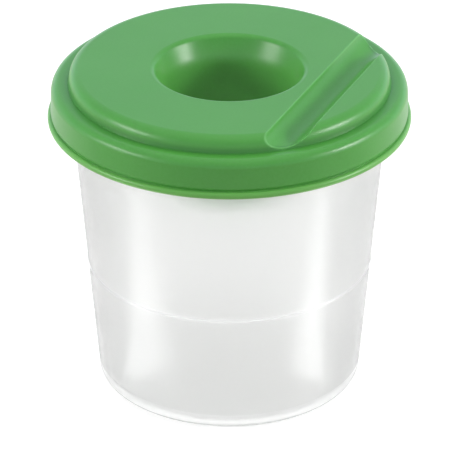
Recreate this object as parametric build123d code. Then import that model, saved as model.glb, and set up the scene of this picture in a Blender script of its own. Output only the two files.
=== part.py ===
from build123d import *
from math import radians, tan
import os

# A non-spill paint cup in millimetres: a tapered beaker and the lid that sits on its rim.
# The origin is at the centre of the base, +Z points up and the brush groove runs along Y on the +X side.

# Cup, driving sizes
cup_height = 79.0
base_radius = 33.0
rim_wall_radius = 39.6
cup_wall = 1.2
floor_thickness = 1.4
foot_depth = 1.4
foot_width = 4.0
base_rounding = 2.2
foot_rounding = 0.5
floor_rounding = 1.5
gate_radius = 3.0
gate_depth = 0.5
gate_rounding = 0.3
fill_height = 32.3
fill_step = 0.3
fill_rib = 0.25
fill_rib_width = 0.6
rim_width = 2.6
rim_thickness = 1.4
rim_slope = 1.2
rim_rounding = 0.4
mouth_edge_rounding = 0.3

# Lid, driving sizes
lid_wall = 1.3
ledge_thickness = 1.4
ledge_width = 4.04
platform_height = 3.85
platform_draft = 12.0
platform_rounding = 2.8
platform_foot_rounding = 0.35
skirt_height = 9.8
skirt_flare = 0.3
skirt_rounding = 2.2
crease_height = 0.8
crease_depth = 0.35
crease_rounding = 0.12
lip_width = 0.75
lip_height = 1.8
lip_rounding = 0.85
seal_wall = 1.1
seal_depth = 2.5
seal_rounding = 0.4
bead_height = 1.6
bead_rounding = 0.3
inside_rounding = 1.2
mouth_rounding = 1.6
knee_depth = 6.0
knee_rounding = 12.0
funnel_flare = 2.7
funnel_taper = 2.4
funnel_depth = 30.0
funnel_wall = 1.2
throat_rounding = 0.45
groove_outer_land = 7.7
groove_inner_land = 3.7
groove_width = 9.0
groove_floor_lift = 0.55
groove_wall = 1.3
groove_edge_rounding = 0.35

# Clearances between cup and lid
skirt_clearance = 0.45
bead_clearance = 0.1
seal_clearance = 0.25


def turned(corners):
    """Solid of revolution about Z from a closed outline of (radius, height, rounding) corners."""
    points = [(radius, height) for radius, height, rounding in corners]
    roundings = [rounding for radius, height, rounding in corners]
    with BuildPart() as solid:
        with BuildSketch(Plane.XZ):
            with BuildLine():
                FilletPolyline(*points, radius=roundings, close=True)
            make_face()
        revolve(axis=Axis.Z)
    return solid.part


def cup_outer(height):
    """Outer wall radius of the cup at a height, before ribs and roundings."""
    return base_radius + (rim_wall_radius - base_radius) * height / cup_height


def cup_inner(height):
    """Inner wall radius of the cup above the fill line."""
    return cup_outer(height) - cup_wall


# Heights and radii that follow from the driving sizes
floor_top = foot_depth + floor_thickness
rim_bottom = cup_height - rim_thickness
rim_radius = rim_wall_radius + rim_width
foot_inner_radius = base_radius - foot_width

ledge_top = cup_height + ledge_thickness
lid_top = ledge_top + platform_height
lid_bottom = ledge_top - skirt_height
lip_top = lid_bottom + lip_height
skirt_radius = rim_radius + skirt_clearance + lid_wall
skirt_foot_radius = skirt_radius + skirt_flare
crease_top = lip_top + crease_height
lip_radius = skirt_foot_radius + lip_width
platform_foot_radius = skirt_radius - ledge_width
platform_radius = platform_foot_radius - platform_height * tan(radians(platform_draft))
groove_offset = platform_radius - groove_outer_land - groove_width / 2
mouth_radius = groove_offset - groove_width / 2 - groove_inner_land
knee_radius = mouth_radius - funnel_flare
throat_radius = knee_radius - funnel_taper
knee_height = lid_top - knee_depth
plate_bottom = lid_top - lid_wall
seal_bottom = cup_height - seal_depth
throat_height = lid_top - funnel_depth
bead_radius = rim_radius + bead_clearance
bead_middle = rim_bottom - rim_slope - bead_height / 2


def skirt_inner(height):
    """Inner radius of the flared skirt at a height."""
    flare_share = (ledge_top - height) / (ledge_top - lip_top)
    return skirt_radius + skirt_flare * flare_share - lid_wall


def flare_outer(height):
    """Outer radius of the funnel's wall at a height above its knee."""
    share = (height - knee_height) / knee_depth
    return knee_radius + funnel_flare * share + funnel_wall


def make_cup():
    rib_bottom = fill_height - fill_rib_width / 2
    rib_top = fill_height + fill_rib_width / 2
    gate_top = foot_depth + gate_depth
    thick_wall_top = fill_height - fill_step
    return turned(
        [
            (0, gate_top, 0),
            (gate_radius, gate_top, gate_rounding),
            (gate_radius, foot_depth, gate_rounding),
            (foot_inner_radius, foot_depth, foot_rounding),
            (foot_inner_radius, 0, foot_rounding),
            (base_radius, 0, base_rounding),
            (cup_outer(rib_bottom), rib_bottom, 0),
            (cup_outer(fill_height) + fill_rib, fill_height, 0),
            (cup_outer(rib_top), rib_top, 0),
            (cup_outer(rim_bottom - rim_slope), rim_bottom - rim_slope, rim_rounding),
            (rim_radius, rim_bottom, rim_rounding),
            (rim_radius, cup_height, rim_rounding),
            (cup_inner(cup_height), cup_height, mouth_edge_rounding),
            (cup_inner(fill_height), fill_height, 0),
            (cup_inner(thick_wall_top) - fill_step, thick_wall_top, 0),
            (cup_inner(floor_top) - fill_step, floor_top, floor_rounding),
            (0, floor_top, 0),
        ]
    )


def make_lid_shell():
    seal_top_radius = cup_inner(cup_height) - seal_clearance
    seal_foot_radius = cup_inner(seal_bottom) - seal_clearance
    return turned(
        [
            (throat_radius, throat_height, throat_rounding),
            (knee_radius, knee_height, knee_rounding),
            (mouth_radius, lid_top, mouth_rounding),
            (platform_radius, lid_top, platform_rounding),
            (platform_foot_radius, ledge_top, platform_foot_rounding),
            (skirt_radius, ledge_top, skirt_rounding),
            (skirt_foot_radius, crease_top, crease_height / 2),
            (skirt_foot_radius - crease_depth, lip_top, crease_rounding),
            (lip_radius, lip_top, lip_rounding),
            (lip_radius, lid_bottom, lip_rounding),
            (skirt_inner(lid_bottom), lid_bottom, bead_rounding),
            (skirt_inner(bead_middle - bead_height / 2), bead_middle - bead_height / 2, 0),
            (bead_radius, bead_middle, bead_rounding),
            (skirt_inner(bead_middle + bead_height / 2), bead_middle + bead_height / 2, 0),
            (skirt_inner(cup_height), cup_height, bead_rounding),
            (seal_top_radius, cup_height, 0),
            (seal_foot_radius, seal_bottom, seal_rounding),
            (seal_foot_radius - seal_wall, seal_bottom, seal_rounding),
            (seal_top_radius - seal_wall, plate_bottom, inside_rounding),
            (flare_outer(plate_bottom), plate_bottom, inside_rounding),
            (knee_radius + funnel_wall, knee_height, knee_rounding),
            (throat_radius + funnel_wall, throat_height, throat_rounding),
        ]
    )


def groove_bar(radius, middle_height):
    """Long round bar along Y over the groove."""
    bar_length = lip_radius * 2
    return Pos(groove_offset, 0, middle_height) * Rot(90, 0, 0) * Cylinder(radius, bar_length)


def make_lid():
    groove_floor = ledge_top + groove_floor_lift
    groove_depth = lid_top - groove_floor
    groove_radius = ((groove_width / 2) ** 2 + groove_depth**2) / (2 * groove_depth)
    groove_middle = groove_floor + groove_radius
    # The trough's own wall hangs below the platform and ends inside the platform's side wall.
    core_radius = cup_inner(cup_height) - seal_clearance - seal_wall / 2
    core_top = lid_top - lid_wall / 2
    core_height = core_top - seal_bottom
    core = Pos(0, 0, seal_bottom + core_height / 2) * Cylinder(core_radius, core_height)
    trough = groove_bar(groove_radius + groove_wall, groove_middle) & core
    lid = make_lid_shell() + trough - groove_bar(groove_radius, groove_middle)
    groove_faces = [face for face in lid.faces().filter_by(GeomType.CYLINDER) if lies_in_groove(face, groove_radius)]
    groove_edges = [edge for face in groove_faces for edge in face.edges()]
    return lid.fillet(groove_edge_rounding, groove_edges)


def lies_in_groove(face, groove_radius):
    """True for the groove's own round floor, which no other face of the lid matches in radius and axis."""
    axis = face.axis_of_rotation
    along_y = abs(axis.direction.Y) > 1 / 2
    return along_y and face.radius < groove_radius + groove_wall / 2


def main():
    os.makedirs("parts", exist_ok=True)
    export_step(make_cup(), "parts/cup.step")
    export_step(make_lid(), "parts/lid.step")


main()
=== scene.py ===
import math

import bmesh
import bpy
import numpy as np
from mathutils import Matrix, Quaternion, Vector


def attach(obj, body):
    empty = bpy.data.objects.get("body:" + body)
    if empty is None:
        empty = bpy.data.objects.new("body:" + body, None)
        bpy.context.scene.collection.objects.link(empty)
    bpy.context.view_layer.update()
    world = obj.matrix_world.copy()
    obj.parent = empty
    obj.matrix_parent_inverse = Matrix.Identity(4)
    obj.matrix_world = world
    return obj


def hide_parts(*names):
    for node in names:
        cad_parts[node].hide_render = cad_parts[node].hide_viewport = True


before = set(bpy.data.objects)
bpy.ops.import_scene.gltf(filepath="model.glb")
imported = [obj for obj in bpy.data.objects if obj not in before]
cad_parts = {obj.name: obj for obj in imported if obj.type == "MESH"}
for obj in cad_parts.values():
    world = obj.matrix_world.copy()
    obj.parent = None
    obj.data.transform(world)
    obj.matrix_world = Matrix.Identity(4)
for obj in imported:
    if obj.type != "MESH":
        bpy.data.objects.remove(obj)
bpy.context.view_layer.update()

# A non-spill paint cup: a frosted cup and a green lid, each one turned mesh in the place of its solid.
# Lengths are in millimetres, and in metres where a comment says so.
MM = 0.001

# Sizes of the cup, as in its solid
cup_height = 79.0
base_radius = 33.0
rim_wall_radius = 39.6
cup_wall = 1.2
floor_thickness = 1.4
foot_depth = 1.4
foot_width = 4.0
base_rounding = 2.2
foot_rounding = 0.5
floor_rounding = 1.5
fill_height = 32.3
fill_step = 0.3
fill_rib = 0.25
fill_rib_width = 0.6
rim_width = 2.6
rim_thickness = 1.4
rim_slope = 1.2
rim_rounding = 0.4
mouth_edge_rounding = 0.3
gate_radius = 3.0
gate_depth = 0.5
gate_rounding = 0.3

# Sizes of the lid, as in its solid
lid_wall = 1.3
ledge_thickness = 1.4
ledge_width = 4.04
platform_height = 3.85
platform_draft = 12.0
platform_rounding = 2.8
skirt_height = 9.8
skirt_flare = 0.3
skirt_rounding = 2.2
crease_height = 0.8
crease_depth = 0.35
crease_rounding = 0.12
lip_width = 0.75
lip_height = 1.8
lip_rounding = 0.85
seal_wall = 1.1
seal_depth = 2.5
seal_rounding = 0.4
bead_height = 1.6
bead_rounding = 0.3
inside_rounding = 1.2
mouth_rounding = 1.6
knee_depth = 6.0
knee_rounding = 12.0
funnel_flare = 2.7
funnel_taper = 2.4
funnel_depth = 30.0
funnel_wall = 1.2
throat_rounding = 0.45
groove_outer_land = 7.7
groove_inner_land = 3.7
groove_width = 9.0
groove_floor_lift = 0.55
groove_wall = 1.3
skirt_clearance = 0.45
bead_clearance = 0.1
seal_clearance = 0.25

# Small roundings that only the scene has. The platform's foot stays sharp, because a rounding glints there.
rib_rounding = 0.1
step_rounding = 0.2
platform_foot_rounding = 0.0

# Heights and radii that follow from the sizes
floor_top = foot_depth + floor_thickness
rim_bottom = cup_height - rim_thickness
rim_radius = rim_wall_radius + rim_width
ledge_top = cup_height + ledge_thickness
lid_top = ledge_top + platform_height
lid_bottom = ledge_top - skirt_height
lip_top = lid_bottom + lip_height
skirt_radius = rim_radius + skirt_clearance + lid_wall
skirt_foot_radius = skirt_radius + skirt_flare
lip_radius = skirt_foot_radius + lip_width
platform_foot_radius = skirt_radius - ledge_width
platform_radius = platform_foot_radius - platform_height * math.tan(math.radians(platform_draft))
groove_offset = platform_radius - groove_outer_land - groove_width / 2
mouth_radius = groove_offset - groove_width / 2 - groove_inner_land
knee_radius = mouth_radius - funnel_flare
throat_radius = knee_radius - funnel_taper
knee_height = lid_top - knee_depth
throat_height = lid_top - funnel_depth
plate_bottom = lid_top - lid_wall
seal_bottom = cup_height - seal_depth
bead_radius = rim_radius + bead_clearance
bead_middle = rim_bottom - rim_slope - bead_height / 2
groove_floor = ledge_top + groove_floor_lift
groove_depth = lid_top - groove_floor
groove_radius = ((groove_width / 2) ** 2 + groove_depth**2) / (2 * groove_depth)
groove_middle = groove_floor + groove_radius


def cup_outer(height):
    """Outer wall radius of the cup at a height."""
    return base_radius + (rim_wall_radius - base_radius) * height / cup_height


def cup_inner(height):
    """Inner wall radius of the cup above the fill line."""
    return cup_outer(height) - cup_wall


def skirt_inner(height):
    """Inner radius of the lid's flared skirt at a height."""
    flare_share = (ledge_top - height) / (ledge_top - lip_top)
    return skirt_radius + skirt_flare * flare_share - lid_wall


def flare_outer(height):
    """Outer radius of the funnel's wall at a height above its knee."""
    share = (height - knee_height) / knee_depth
    return knee_radius + funnel_flare * share + funnel_wall


# Steps of the turned meshes
turns = 300
arc_step = math.radians(6)
small_rounding = 0.6
small_arc_step = arc_step * 3
long_wall = 20.0
long_wall_factor = 6
flat_half_angle = math.radians(89.9)
tiny = 1e-6


def unit(vectors):
    """The same vectors with length 1."""
    return vectors / np.linalg.norm(vectors, axis=-1, keepdims=True)


def rounded_corner(before, here, after, rounding):
    """Points of a corner, the centre of its rounding if it has one, and the side that its normals face."""
    back, ahead = unit(before - here), unit(after - here)
    half_angle = math.acos(max(-1.0, min(1.0, float(back @ ahead)))) / 2
    if rounding == 0 or half_angle > flat_half_angle:
        return [here], None, None
    tangent = rounding / math.tan(half_angle)
    middle = here + unit(back + ahead) * rounding / math.sin(half_angle)
    first, last = here + back * tangent, here + ahead * tangent
    step = arc_step if rounding > small_rounding else small_arc_step
    steps = max(2, math.ceil((math.pi - 2 * half_angle) / step))
    start_angle = math.atan2(*(first - middle)[::-1])
    end_angle = math.atan2(*(last - middle)[::-1])
    turn = (end_angle - start_angle + math.pi) % (2 * math.pi) - math.pi
    points = []
    for k in range(steps + 1):
        angle = start_angle + turn * k / steps
        points.append(middle + rounding * np.array([math.cos(angle), math.sin(angle)]))
    return points, middle, -math.copysign(1, turn)


def outline(corners, straight_step):
    """Segments of a closed outline of (radius, height, rounding) corners.

    A segment is its start, its end, and the outward normals at both.
    """
    points = [np.array(corner[:2], float) for corner in corners]
    following = points[1:] + points[:1]
    area = sum(here[0] * after[1] - after[0] * here[1] for here, after in zip(points, following))
    if area > 0:
        return outline(corners[::-1], straight_step)
    arcs = [
        rounded_corner(points[i - 1], points[i], following[i], corners[i][2])
        for i in range(len(corners))
    ]
    segments = []
    for (arc, middle, side), next_arc in zip(arcs, arcs[1:] + arcs[:1]):
        for start, end in zip(arc, arc[1:]):
            segments.append((start, end, unit((start - middle) * side), unit((end - middle) * side)))
        start, end = arc[-1], next_arc[0][0]
        length = np.linalg.norm(end - start)
        if length < tiny:
            continue
        along = (end - start) / length
        normal = np.array([-along[1], along[0]])
        # The long plain walls take longer steps.
        step = straight_step if length < long_wall else straight_step * long_wall_factor
        pieces = max(1, math.ceil(length / step))
        for k in range(pieces):
            low = start + along * length * k / pieces
            high = start + along * length * (k + 1) / pieces
            segments.append((low, high, normal, normal))
    return segments


def turned_mesh(name, segments):
    """Mesh of revolution, in millimetres, with the segment's number on each face."""
    on_axis = [k for k, (start, end, *_) in enumerate(segments) if start[0] < tiny and end[0] < tiny]
    kept = list(range(len(segments)))
    if on_axis:
        first = on_axis[-1] + 1
        kept = [(first + k) % len(segments) for k in range(len(segments) - len(on_axis))]
    profile = [segments[k][0] for k in kept]
    if on_axis:
        profile.append(segments[kept[-1]][1])
    verts, rings = [], []
    for radius, height in profile:
        if radius < tiny:
            rings.append([len(verts)] * turns)
            verts.append((0.0, 0.0, height))
            continue
        rings.append(list(range(len(verts), len(verts) + turns)))
        for j in range(turns):
            angle = 2 * math.pi * (j + 0.5) / turns
            verts.append((radius * math.cos(angle), radius * math.sin(angle), height))
    faces, owner = [], []
    for i, k in enumerate(kept):
        low, high = rings[i], rings[(i + 1) % len(rings)]
        for j in range(turns):
            after = (j + 1) % turns
            corners = [low[j], high[j], high[after], low[after]]
            faces.append([corner for n, corner in enumerate(corners) if corner not in corners[:n]])
            owner.append(k)
    mesh = bpy.data.meshes.new(name)
    mesh.from_pydata(verts, [], faces)
    mesh.attributes.new("segment", "INT", "FACE").data.foreach_set("value", owner)
    return mesh


def read_mesh(mesh):
    """Positions of the vertices, and for each face corner its vertex and its segment."""
    places = np.zeros(len(mesh.vertices) * 3)
    mesh.vertices.foreach_get("co", places)
    corner_vertex = np.zeros(len(mesh.loops), int)
    mesh.loops.foreach_get("vertex_index", corner_vertex)
    owner = np.zeros(len(mesh.polygons), int)
    mesh.attributes["segment"].data.foreach_get("value", owner)
    totals = np.zeros(len(mesh.polygons), int)
    mesh.polygons.foreach_get("loop_total", totals)
    return places.reshape(-1, 3), corner_vertex, np.repeat(owner, totals)


def turned_normals(segments, at, owner):
    """Exact normals of a turned mesh at the positions of its face corners."""
    start, end, start_normal, end_normal = (np.array(part)[owner] for part in zip(*segments))
    radius = np.hypot(at[:, 0], at[:, 1])
    along = end - start
    share = ((np.stack([radius, at[:, 2]], 1) - start) * along).sum(1) / (along**2).sum(1)
    share = np.clip(share, 0, 1)[:, None]
    normal = unit(start_normal * (1 - share) + end_normal * share)
    level = normal[:, :1] * at[:, :2] / np.maximum(radius, tiny)[:, None]
    return np.column_stack([level, normal[:, 1]])


def finish_mesh(mesh, normals):
    """Turns a mesh into metres and gives it smooth shading with its exact normals."""
    places = np.zeros(len(mesh.vertices) * 3)
    mesh.vertices.foreach_get("co", places)
    mesh.vertices.foreach_set("co", places * MM)
    mesh.attributes.remove(mesh.attributes["segment"])
    mesh.shade_smooth()
    mesh.update()
    mesh.normals_split_custom_set(normals.tolist())


def add_piece(name, mesh, body, node, material):
    """Adds a mesh as a piece that rides on a body and stands for a node of the solids."""
    piece = bpy.data.objects.new(name, mesh)
    bpy.context.scene.collection.objects.link(piece)
    mesh.materials.append(material)
    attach(piece, body)
    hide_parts(node)


# Usual range of a noise texture's values
noise_low = 0.3
noise_high = 0.7


class Tree:
    """The nodes of one material or of the world, with short ways to add more."""

    def __init__(self, owner):
        owner.use_nodes = True
        self.nodes = owner.node_tree.nodes
        self.links = owner.node_tree.links

    def feed(self, socket, value):
        """Links a node's output to a socket, or sets a plain value on it."""
        if isinstance(value, bpy.types.NodeSocket):
            self.links.new(value, socket)
        else:
            socket.default_value = value

    def node(self, kind, inputs=(), **settings):
        """New node with the given settings and inputs; an input is named by its label or number."""
        node = self.nodes.new("ShaderNode" + kind)
        for name, setting in settings.items():
            setattr(node, name, setting)
        for label, value in dict(inputs).items():
            self.feed(node.inputs[label], value)
        return node

    def place(self):
        """Position in object space, in metres."""
        return self.node("TexCoord").outputs["Object"]

    def calculate(self, operation, first, second=0.0):
        """Result of an operation on two numbers, each a plain one or a node's output."""
        return self.node("Math", {0: first, 1: second}, operation=operation).outputs[0]

    def split(self, vector, axis):
        """One part of a vector."""
        return self.node("SeparateXYZ", {0: vector}).outputs[axis]

    def length_along(self, vector, axes):
        """Length of a vector after its parts are multiplied by the axes' numbers."""
        kept = self.node("VectorMath", {0: vector, 1: axes}, operation="MULTIPLY").outputs[0]
        return self.node("VectorMath", {0: kept}, operation="LENGTH").outputs["Value"]

    def noise(self, place, scale, detail, stretch=None):
        """Noise with features per metre; stretch squeezes its axes."""
        if stretch:
            place = self.node("Mapping", {"Vector": place, "Scale": stretch}).outputs["Vector"]
        inputs = {"Vector": place, "Scale": scale, "Detail": detail}
        return self.node("TexNoise", inputs).outputs["Fac"]

    def spread(self, value, low, high, start=noise_low, end=noise_high):
        """Goes from low to high while the value goes from start to end."""
        inputs = {"Value": value, "From Min": start, "From Max": end, "To Min": low, "To Max": high}
        return self.node("MapRange", inputs).outputs["Result"]

    def mix_colour(self, factor, first, second):
        """Colour between two; the node's colour inputs are 6 and 7, and its colour output is 2."""
        return self.node("Mix", {0: factor, 6: first, 7: second}, data_type="RGBA").outputs[2]

    def bump(self, height, strength, distance, normal=None):
        """Normals of a fine relief, whose distance is in metres, on top of other normals if given."""
        node = self.node("Bump", {"Height": height, "Strength": strength, "Distance": distance})
        if normal:
            self.feed(node.inputs["Normal"], normal)
        return node.outputs["Normal"]

    def height_band(self, place, middle, reach, edge):
        """1 at heights within reach of the middle, falling to 0 over a soft edge."""
        away = self.calculate("SUBTRACT", self.split(place, "Z"), middle * MM)
        away = self.calculate("ABSOLUTE", away)
        return self.spread(away, 1.0, 0.0, reach * MM, (reach + edge) * MM)

    def from_axis(self, place, near, far, low, high):
        """Goes from low to high between two distances from the Z axis."""
        distance = self.length_along(place, (1, 1, 0))
        return self.spread(distance, low, high, near * MM, far * MM)

    def seen_by(self, plain, looks):
        """Shader that is plain for soft light, with other looks for the rays that see it directly."""
        path = self.node("LightPath")
        shown = plain
        for ray, look in looks:
            shown = self.node("MixShader", {0: path.outputs[ray], 1: shown, 2: look}).outputs[0]
        return shown


def groove_edge(tree, place):
    """1 on the groove's rounded edge, which is near its cylinder and near the platform's surface."""
    middle = (groove_offset * MM, 0, groove_middle * MM)
    shifted = tree.node("VectorMath", {0: place, 1: middle}, operation="SUBTRACT").outputs[0]
    off_cylinder = tree.calculate("SUBTRACT", tree.length_along(shifted, (1, 0, 1)), groove_radius * MM)
    off_cylinder = tree.calculate("ABSOLUTE", off_cylinder)
    on_cylinder = tree.spread(off_cylinder, 1.0, 0.0, start=0.12 * MM, end=0.3 * MM)
    # How far a point is past the centre of the rounding between the platform's top and its sloped wall.
    # The rounding counts a little smaller than it is, which keeps the edge thin at the corner.
    rounding = 2.5
    draft = math.radians(platform_draft)
    wall = platform_foot_radius * math.cos(draft) + ledge_top * math.sin(draft)
    height = tree.split(place, "Z")
    above = tree.calculate("SUBTRACT", height, (lid_top - rounding) * MM)
    above = tree.calculate("MAXIMUM", above)
    outward = tree.calculate("MULTIPLY", tree.length_along(place, (1, 1, 0)), math.cos(draft))
    upward = tree.calculate("MULTIPLY", height, math.sin(draft))
    beyond = tree.calculate("SUBTRACT", tree.calculate("ADD", outward, upward), (wall - rounding) * MM)
    beyond = tree.calculate("MAXIMUM", beyond)
    past = tree.node("CombineXYZ", {0: above, 1: beyond}).outputs[0]
    past = tree.length_along(past, (1, 1, 1))
    on_surface = tree.spread(past, 0.0, 1.0, start=(rounding - 0.4) * MM, end=(rounding - 0.15) * MM)
    return tree.calculate("MULTIPLY", on_cylinder, on_surface)


def lid_plastic():
    """Green moulded plastic."""
    dull_green, fresh_green = (0.074, 0.332, 0.047, 1), (0.084, 0.355, 0.054, 1)
    speck_green = (0.10, 0.39, 0.08, 1)
    painted_lip_light_green = (0.16, 0.47, 0.085, 1)
    painted_lip_edge_glow_green = (0.45, 0.72, 0.25, 1)
    painted_corner_shade_green = (0.045, 0.23, 0.035, 1)
    painted_groove_edge_highlight_green = (0.125, 0.425, 0.10, 1)
    painted_funnel_glow = (0.55, 0.75, 0.5, 1)

    material = bpy.data.materials.new("lid_green_plastic")
    tree = Tree(material)
    shader = tree.nodes["Principled BSDF"]
    place = tree.place()
    cloud = tree.spread(tree.noise(place, scale=38, detail=3), 0, 1)
    tint = tree.mix_colour(cloud, dull_green, fresh_green)
    specks = tree.spread(tree.noise(place, scale=1400, detail=2), 0, 0.25)
    tint = tree.mix_colour(specks, tint, speck_green)
    # Painted light: the lip's colour is made lighter than the skirt above it, standing in for light that
    # comes through the thin lip.
    outside = tree.from_axis(place, near=40.0, far=40.5, low=0.0, high=0.8)
    lip = tree.height_band(place, (lid_bottom + lip_top) / 2, reach=lip_height * 0.4, edge=0.3)
    tint = tree.mix_colour(tree.calculate("MULTIPLY", lip, outside), tint, painted_lip_light_green)
    # Painted light: a pale line along the lip's bottom edge stands in for light glowing through it.
    lip_edge = tree.height_band(place, lid_bottom, reach=0.2, edge=0.3)
    tint = tree.mix_colour(tree.calculate("MULTIPLY", lip_edge, outside), tint, painted_lip_edge_glow_green)
    # Painted shade: the corner between the ledge and the platform's wall is darkened a little, and nothing
    # inside it is.
    corner = tree.height_band(place, ledge_top, reach=0.8, edge=0.8)
    foot = platform_foot_radius
    shade = tree.from_axis(place, near=foot, far=foot + 2.0, low=0.7, high=0.0)
    corner = tree.calculate("MULTIPLY", corner, shade)
    reach = tree.from_axis(place, near=foot - 1.2, far=foot - 0.6, low=0.0, high=1.0)
    corner = tree.calculate("MULTIPLY", corner, reach)
    tint = tree.mix_colour(corner, tint, painted_corner_shade_green)
    # Painted highlight: the groove's rounded edge is made lighter, as a thin line of light along it.
    tint = tree.mix_colour(groove_edge(tree, place), tint, painted_groove_edge_highlight_green)
    tree.feed(shader.inputs["Base Color"], tint)
    # Painted light: the funnel's wall glows a little by emission, which stands in for light from the bright
    # cup that comes through it.
    tree.feed(shader.inputs["Emission Color"], painted_funnel_glow)
    glow = tree.from_axis(place, near=16.8, far=18.2, low=0.03, high=0.0)
    tree.feed(shader.inputs["Emission Strength"], glow)
    tree.feed(shader.inputs["Roughness"], tree.spread(tree.noise(place, scale=120, detail=3), 0.29, 0.34))
    peel = tree.noise(place, scale=900, detail=2)
    relief = tree.bump(peel, strength=0.05, distance=0.00002)
    wave = tree.noise(place, scale=110, detail=2)
    relief = tree.bump(wave, strength=0.06, distance=0.0001, normal=relief)
    tree.feed(shader.inputs["Normal"], relief)
    tree.feed(shader.inputs["IOR"], 1.49)
    tree.feed(shader.inputs["Subsurface Weight"], 0.15)
    tree.feed(shader.inputs["Subsurface Radius"], (0.3, 1.0, 0.25))
    tree.feed(shader.inputs["Subsurface Scale"], 0.0015)
    return material


def cup_plastic():
    """Frosted see-through plastic."""
    dull_white, fresh_white = (0.975, 0.98, 0.975, 1), (0.985, 0.985, 0.98, 1)
    painted_foot_shade_grey = (0.78, 0.79, 0.78, 1)

    material = bpy.data.materials.new("cup_frosted_plastic")
    tree = Tree(material)
    shader = tree.nodes["Principled BSDF"]
    place = tree.place()
    cloud = tree.spread(tree.noise(place, scale=60, detail=3, stretch=(1, 1, 0.35)), 0, 1)
    tint = tree.mix_colour(cloud, dull_white, fresh_white)
    # Painted shade: the rounded foot is darkened into a thin grey line.
    foot = tree.height_band(place, 0, reach=1.2, edge=0.4)
    tint = tree.mix_colour(foot, tint, painted_foot_shade_grey)
    tree.feed(shader.inputs["Base Color"], tint)
    grain = tree.noise(place, scale=700, detail=3)
    tree.feed(shader.inputs["Roughness"], tree.spread(grain, 0.30, 0.40))
    wave = tree.noise(place, scale=90, detail=2, stretch=(1, 1, 0.2))
    relief = tree.bump(grain, strength=0.12, distance=0.00003)
    relief = tree.bump(wave, strength=0.2, distance=0.0001, normal=relief)
    tree.feed(shader.inputs["Normal"], relief)
    # Painted light: white emission bands on the outside at the fill line and at the base stand in for light
    # that the wall carries along and lets out there.
    painted_light_bands = (
        # Middle height, reach, soft edge and strength
        (fill_height, 0.3, 0.4, 0.11),
        (2.5, 0.8, 0.5, 0.11),
        (3.4, 0.3, 0.4, 0.22),
    )
    light = 0.0
    for middle, reach, edge, strength in painted_light_bands:
        band = tree.calculate("MULTIPLY", tree.height_band(place, middle, reach, edge), strength)
        light = tree.calculate("ADD", band, light)
    outside = tree.from_axis(place, near=32.2, far=32.7, low=0.0, high=1.0)
    tree.feed(shader.inputs["Emission Color"], (1, 1, 1, 1))
    tree.feed(shader.inputs["Emission Strength"], tree.calculate("MULTIPLY", light, outside))
    tree.feed(shader.inputs["IOR"], 1.49)
    tree.feed(shader.inputs["Transmission Weight"], 0.9)
    tree.feed(shader.inputs["Coat Weight"], 0.35)
    tree.feed(shader.inputs["Coat Roughness"], 0.22)
    return material


# Cup
rib_bottom = fill_height - fill_rib_width / 2
rib_top = fill_height + fill_rib_width / 2
gate_top = foot_depth + gate_depth
thick_wall_top = fill_height - fill_step
cup_segments = outline(
    [
        (0, gate_top, 0),
        (gate_radius, gate_top, gate_rounding),
        (gate_radius, foot_depth, gate_rounding),
        (base_radius - foot_width, foot_depth, foot_rounding),
        (base_radius - foot_width, 0, foot_rounding),
        (base_radius, 0, base_rounding),
        (cup_outer(rib_bottom), rib_bottom, rib_rounding),
        (cup_outer(fill_height) + fill_rib, fill_height, rib_rounding),
        (cup_outer(rib_top), rib_top, rib_rounding),
        (cup_outer(rim_bottom - rim_slope), rim_bottom - rim_slope, rim_rounding),
        (rim_radius, rim_bottom, rim_rounding),
        (rim_radius, cup_height, rim_rounding),
        (cup_inner(cup_height), cup_height, mouth_edge_rounding),
        (cup_inner(fill_height), fill_height, step_rounding),
        (cup_inner(thick_wall_top) - fill_step, thick_wall_top, step_rounding),
        (cup_inner(floor_top) - fill_step, floor_top, floor_rounding),
        (0, floor_top, 0),
    ],
    straight_step=4.0,
)
cup_mesh = turned_mesh("frosted_cup", cup_segments)
places, corner_vertex, corner_segment = read_mesh(cup_mesh)
finish_mesh(cup_mesh, turned_normals(cup_segments, places[corner_vertex], corner_segment))
add_piece("frosted_cup", cup_mesh, "cup", "cup", cup_plastic())

# Lid
seal_top_radius = cup_inner(cup_height) - seal_clearance
seal_foot_radius = cup_inner(seal_bottom) - seal_clearance
bead_bottom = bead_middle - bead_height / 2
bead_top = bead_middle + bead_height / 2
lid_segments = outline(
    [
        (throat_radius, throat_height, throat_rounding),
        (knee_radius, knee_height, knee_rounding),
        (mouth_radius, lid_top, mouth_rounding),
        (platform_radius, lid_top, platform_rounding),
        (platform_foot_radius, ledge_top, platform_foot_rounding),
        (skirt_radius, ledge_top, skirt_rounding),
        (skirt_foot_radius, lip_top + crease_height, crease_height / 2),
        (skirt_foot_radius - crease_depth, lip_top, crease_rounding),
        (lip_radius, lip_top, lip_rounding),
        (lip_radius, lid_bottom, lip_rounding),
        (skirt_inner(lid_bottom), lid_bottom, bead_rounding),
        (skirt_inner(bead_bottom), bead_bottom, step_rounding),
        (bead_radius, bead_middle, bead_rounding),
        (skirt_inner(bead_top), bead_top, step_rounding),
        (skirt_inner(cup_height), cup_height, bead_rounding),
        (seal_top_radius, cup_height, step_rounding),
        (seal_foot_radius, seal_bottom, seal_rounding),
        (seal_foot_radius - seal_wall, seal_bottom, seal_rounding),
        (seal_top_radius - seal_wall, plate_bottom, inside_rounding),
        (flare_outer(plate_bottom), plate_bottom, inside_rounding),
        (knee_radius + funnel_wall, knee_height, knee_rounding),
        (throat_radius + funnel_wall, throat_height, throat_rounding),
    ],
    straight_step=1.0,
)

# The groove's edges and the trough's root are blended over these heights.
groove_blend = 0.25
trough_blend = 0.8
# Cuts on each side of the groove's middle: distance of the first, spacing and number, closest at its edge
cut_rows = ((0.35, 0.35, 11), (4.12, 0.08, 11), (5.05, 0.15, 8))
cut_reach = 7.0
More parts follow.
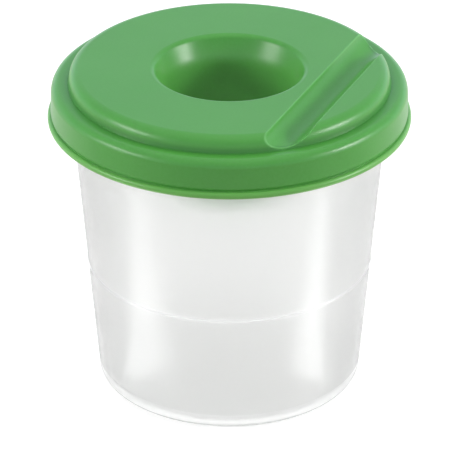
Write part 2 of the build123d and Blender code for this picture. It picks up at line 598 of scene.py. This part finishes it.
# Beyond this share of a bar's radius its steep side goes on as a straight slope.
bar_share = 0.985
bar_slope = 6
# A platform normal's rise is taken as at least this when normals are scaled to the same rise.
least_rise = 0.05
# Limits of the parts of the lid's outline that the groove and its trough change
mouth_land = 1.5
foot_land = 0.5
height_margin = 0.01
least_upward = 0.2
most_upward = 0.5
seal_margin = 0.1
seal_land = 0.5


def groove_zones(segments):
    """Which segments of the lid carry the groove, and which ones its trough on the underside."""
    radius, height = np.array([(start + end) / 2 for start, end, *_ in segments]).T
    upward = np.array([start_normal[1] + end_normal[1] for _, _, start_normal, end_normal in segments])
    is_top = (radius > mouth_radius + mouth_land) & (radius < platform_foot_radius + foot_land)
    is_top &= (height > ledge_top - height_margin) & (upward > least_upward)
    is_under = (radius > flare_outer(plate_bottom)) & (radius < seal_top_radius - seal_wall + seal_margin)
    is_under &= (height > seal_bottom + seal_land) & (upward < most_upward) & ~is_top
    return is_top, is_under


def cut_lines(mesh, is_cut):
    """Cuts the marked segments along the groove, so that its edges follow straight lines."""
    work = bmesh.new()
    work.from_mesh(mesh)
    layer = work.faces.layers.int["segment"]
    zone = [
        face
        for face in work.faces
        if is_cut[face[layer]] and any(abs(v.co.x - groove_offset) < cut_reach for v in face.verts)
    ]
    verts = {vert for face in zone for vert in face.verts}
    edges = {edge for face in zone for edge in face.edges}
    geometry = list(verts) + list(edges) + zone
    offsets = [first + spacing * k for first, spacing, number in cut_rows for k in range(number)]
    for offset in [0.0] + offsets + [-offset for offset in offsets]:
        result = bmesh.ops.bisect_plane(
            work,
            geom=geometry,
            dist=1e-5,
            plane_co=(groove_offset + offset, 0, 0),
            plane_no=(1, 0, 0),
        )
        geometry = result["geom"]
    many_sided = [face for face in work.faces if len(face.verts) > 4]
    bmesh.ops.triangulate(work, faces=many_sided)
    work.to_mesh(mesh)
    work.free()


def round_bar(x, radius):
    """Height of a round bar's underside above x, for a bar along Y in the groove, and its slope."""
    reach = radius * bar_share
    offset = np.clip(x - groove_offset, -reach, reach)
    below = np.sqrt(radius**2 - offset**2)
    outside = np.maximum(np.abs(x - groove_offset) - reach, 0)
    return groove_middle - below + outside * bar_slope, offset / below


def soft_min(first, second, blend):
    """Smooth lower one of two heights, and the share of the first."""
    share = np.clip(0.5 + 0.5 * (second - first) / blend, 0, 1)
    height = second * (1 - share) + first * share - blend * share * (1 - share)
    return height, share[:, None]


def press_groove(mesh, segments):
    """Presses the groove into the lid's top and its trough into the underside; returns the normals."""
    is_top, is_under = groove_zones(segments)
    cut_lines(mesh, is_top | is_under)
    places, corner_vertex, owner = read_mesh(mesh)
    at = places[corner_vertex]
    normals = turned_normals(segments, at, owner)
    level, full = np.zeros(len(at)), np.ones(len(at))

    top = is_top[owner]
    height, slope = round_bar(at[:, 0], groove_radius)
    pressed, share = soft_min(at[:, 2], height, groove_blend)
    # Both surfaces' normals are scaled to the same rise, which blends their slopes evenly.
    platform_normals = normals / np.maximum(normals[:, 2:], least_rise)
    groove_normals = np.column_stack([-slope, level, full])
    normals[top] = unit(platform_normals * share + groove_normals * (1 - share))[top]

    under = is_under[owner]
    height, slope = round_bar(at[:, 0], groove_radius + groove_wall)
    hung, share = soft_min(at[:, 2], height, trough_blend)
    trough_normals = unit(np.column_stack([slope, level, -full]))
    normals[under] = unit(normals * share + trough_normals * (1 - share))[under]

    places[corner_vertex[top], 2] = pressed[top]
    places[corner_vertex[under], 2] = hung[under]
    mesh.vertices.foreach_set("co", places.ravel())
    return normals


lid_mesh = turned_mesh("green_lid", lid_segments)
finish_mesh(lid_mesh, press_groove(lid_mesh, lid_segments))
add_piece("green_lid", lid_mesh, "lid", "lid", lid_plastic())

# Camera angles in degrees; azimuth 0 looks along +Y
view_azimuth = 23.4
view_elevation = 28.2
scene = bpy.context.scene
scene.view_settings.view_transform = "Standard"


def way_to(azimuth, elevation):
    """Unit vector from the object at an azimuth, counted from the camera's, and an elevation."""
    a, e = math.radians(view_azimuth + azimuth), math.radians(elevation)
    return Vector((math.sin(a) * math.cos(e), -math.cos(a) * math.cos(e), math.sin(e)))


# The world gives weak soft light and is plain white behind the object. In mirror images it is brighter
# near the horizon, which draws thin light lines on the edges.
world = bpy.data.worlds.new("studio")
scene.world = world
tree = Tree(world)
tree.nodes.clear()
direction = tree.node("TexCoord").outputs["Generated"]
horizon = tree.spread(tree.split(direction, "Z"), 1.4, 0.78, start=0.0, end=0.35)
white = (1, 1, 1, 1)
cool_white = (0.9, 1.0, 1.28, 1)
soft, seen, seen_through, mirrored = (
    tree.node("Background", {"Color": colour, "Strength": strength}).outputs[0]
    for colour, strength in ((white, 0.2), (white, 1.0), (white, 1.15), (cool_white, horizon))
)
looks = (
    ("Is Glossy Ray", mirrored),
    ("Is Transmission Ray", seen_through),
    ("Is Camera Ray", seen),
)
tree.node("OutputWorld", {"Surface": tree.seen_by(soft, looks)})

# Table, in metres. Its top lies just under the object.
table_half = 3.0
table_drop = 0.0002
table_mesh = bpy.data.meshes.new("table")
corner_signs = ((-1, -1), (1, -1), (1, 1), (-1, 1))
table_mesh.from_pydata([(x * table_half, y * table_half, 0) for x, y in corner_signs], [], [(0, 1, 2, 3)])
table = bpy.data.objects.new("table", table_mesh)
table.location.z = -table_drop
scene.collection.objects.link(table)
material = bpy.data.materials.new("table_white")
tree = Tree(material)
shader = tree.nodes["Principled BSDF"]
tree.feed(shader.inputs["Base Color"], (0.5, 0.5, 0.5, 1))
tree.feed(shader.inputs["Roughness"], 0.7)
place = tree.place()
# In mirror images the table is brighter beyond the cup than in front of it.
ahead = tuple(-part for part in way_to(0, 0))
beyond = tree.node("VectorMath", {0: place, 1: ahead}, operation="DOT_PRODUCT").outputs["Value"]
mirrored = tree.spread(beyond, 0.85, 1.15, start=-0.04, end=0.03)
# The table glows more far from the lamps, so that no horizon shows.
lift = tree.from_axis(place, near=250, far=900, low=0.7, high=0.93)
mirrored, lift, seen_through = (
    tree.node("Emission", {"Strength": strength}).outputs[0] for strength in (mirrored, lift, 1.2)
)
seen = tree.node("AddShader", {0: shader.outputs[0], 1: lift}).outputs[0]
looks = (
    ("Is Glossy Ray", mirrored),
    ("Is Transmission Ray", seen_through),
    ("Is Camera Ray", seen),
)
surface = tree.nodes["Material Output"].inputs["Surface"]
tree.feed(surface, tree.seen_by(shader.outputs[0], looks))
table_mesh.materials.append(material)

# Lamps, in metres and watts, with angles in degrees from the camera's azimuth
lamp_target = Vector((0, 0, 0.05))
lamp_distance = 0.7
key_elevation = 22
key_height = 0.12
low_elevation = 12
strip_height = 0.24
strip_share = 0.45
fill_distance = 1.2
fill_size = 0.8
side_lamps = (
    # Name, azimuth, width, power of the key, power of the fill
    ("left", -71, 0.33, 1.2, 3.2),
    ("right", 78, 0.26, 1.75, 2.0),
)


def soft_box(name, azimuth, elevation, distance, width, height, power):
    """Area lamp aimed at the object's middle."""
    lamp = bpy.data.lights.new(name, "AREA")
    lamp.shape = "RECTANGLE"
    lamp.size = width
    lamp.size_y = height
    lamp.energy = power
    holder = bpy.data.objects.new(name, lamp)
    way = way_to(azimuth, elevation)
    holder.location = lamp_target + way * distance
    holder.rotation_mode = "QUATERNION"
    holder.rotation_quaternion = way.to_track_quat("Z", "Y")
    scene.collection.objects.link(holder)
    return holder


for name, azimuth, width, power, fill_power in side_lamps:
    soft_box(name + "_key", azimuth, key_elevation, lamp_distance, width, key_height, power)
    strip_power = power * strip_share
    soft_box(name + "_strip", azimuth, low_elevation, lamp_distance, width, strip_height, strip_power)
    fill = soft_box(name + "_fill", azimuth, low_elevation, fill_distance, fill_size, fill_size, fill_power)
    fill.visible_glossy = False
top_size = 1.6
top_box = soft_box("top_box", 180, 80, distance=1.4, width=top_size, height=top_size, power=12.5)
top_box.visible_glossy = False

# Strips of light that lie on the table and only show mirrored in the lower part of the cup, in metres
card_start = 0.011
card_length = 0.095
card_lift = 0.001


def floor_card(name, side, across, width, power):
    """Strip on the table that starts beside the cup at a distance across from the middle of the view."""
    card = soft_box(name, azimuth=0, elevation=0, distance=1, width=width, height=card_length, power=power)
    forward = way_to(0, 0)
    sideways = Vector((-forward.y, forward.x, 0)) * side
    # The strip lies where the wall at that distance mirrors the view.
    lean = math.asin(across / cup_outer(cup_height / 2))
    along = sideways * math.sin(2 * lean) + forward * math.cos(2 * lean)
    start = (sideways * across + forward * across / math.tan(lean)) * MM + along * card_start
    card.location = start + along * card_length / 2 + Vector((0, 0, card_lift))
    turn = math.atan2(along.y, along.x) - math.pi / 2
    card.rotation_quaternion = Quaternion((0, 0, 1), turn) @ Quaternion((1, 0, 0), math.pi)
    card.visible_camera = False
    card.visible_transmission = False
    card.visible_diffuse = False


floor_card("left_card", side=-1, across=22.1, width=0.03, power=0.024)
floor_card("right_card", side=1, across=22.0, width=0.02, power=0.021)

# Camera at the photograph's angle, in metres; its sensor and lens are in millimetres, its shifts in pixels
camera_distance = 0.9
pixels_per_metre = 3970.0
picture_width = 456
sensor_width = 36.0
middle_height = 0.040
shift_right, shift_up = -1.4, -2.9
camera_data = bpy.data.cameras.new("camera")
camera_data.sensor_width = sensor_width
camera_data.lens = pixels_per_metre * camera_distance / picture_width * sensor_width
camera_data.clip_start = 0.01
camera_data.clip_end = 20
camera = bpy.data.objects.new("camera", camera_data)
back = way_to(0, view_elevation)
right = Vector((-back.y, back.x, 0)).normalized()
up = back.cross(right)
target = Vector((0, 0, middle_height)) + (right * shift_right + up * shift_up) / pixels_per_metre
camera.location = target + back * camera_distance
camera.rotation_mode = "QUATERNION"
camera.rotation_quaternion = back.to_track_quat("Z", "Y")
scene.collection.objects.link(camera)
scene.camera = camera

bpy.context.view_layer.update()
